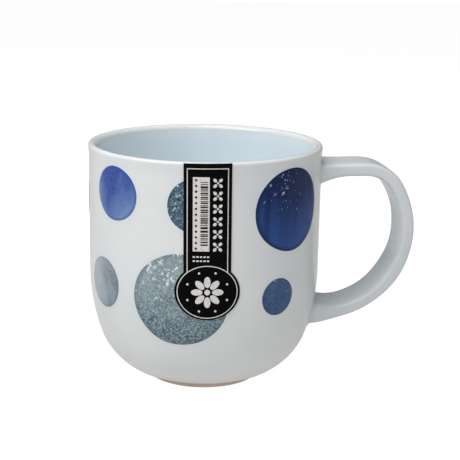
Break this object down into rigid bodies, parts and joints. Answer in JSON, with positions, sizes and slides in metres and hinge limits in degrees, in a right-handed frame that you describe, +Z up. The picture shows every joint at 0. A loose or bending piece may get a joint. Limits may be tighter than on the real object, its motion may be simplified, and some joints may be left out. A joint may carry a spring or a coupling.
{
  "type": "mug",
  "caption": "round-bottomed stoneware mug with a strap handle, painted dots and a stuck-on label; holds a hot drink",
  "frame": {"origin": "centre of the foot ring, on the surface that the mug stands on", "axes": "+Z up along the cup's axis, +X toward the handle"},
  "size_m": [0.1354, 0.0964, 0.0985],
  "materials": {
    "stoneware": "bisque",
    "slip": "bisque",
    "white_glaze": "gloss",
    "liner_glaze": "gloss",
    "navy_paint": "gloss",
    "teal_paint": "gloss",
    "blue_paint": "gloss",
    "grey_paint": "gloss",
    "adhesive": "clear",
    "label_paper": "satin",
    "white_ink": "matte",
    "black_ink": "matte"
  },
  "bodies": {
    "root": {"cup_body": "stoneware", "handle": "stoneware", "upper_slip_joint": "slip", "lower_slip_joint": "slip", "outer_glaze": "white_glaze", "handle_glaze": "white_glaze", "base_glaze": "white_glaze", "liner_glaze": "liner_glaze", "dot_navy_large": "navy_paint", "dot_navy_small": "navy_paint", "dot_teal_small": "teal_paint", "dot_teal_large": "teal_paint", "dot_blue_medium": "blue_paint", "dot_grey_medium": "grey_paint", "dot_navy_large_back": "navy_paint", "dot_teal_small_back": "teal_paint", "dot_blue_small_back": "blue_paint", "dot_teal_large_back": "teal_paint", "dot_grey_medium_back": "grey_paint", "dot_blue_medium_back": "blue_paint", "label_adhesive": "adhesive", "label_paper": "label_paper", "label_white_ink": "white_ink", "label_black_ink": "black_ink"}
  },
  "joints": []
}
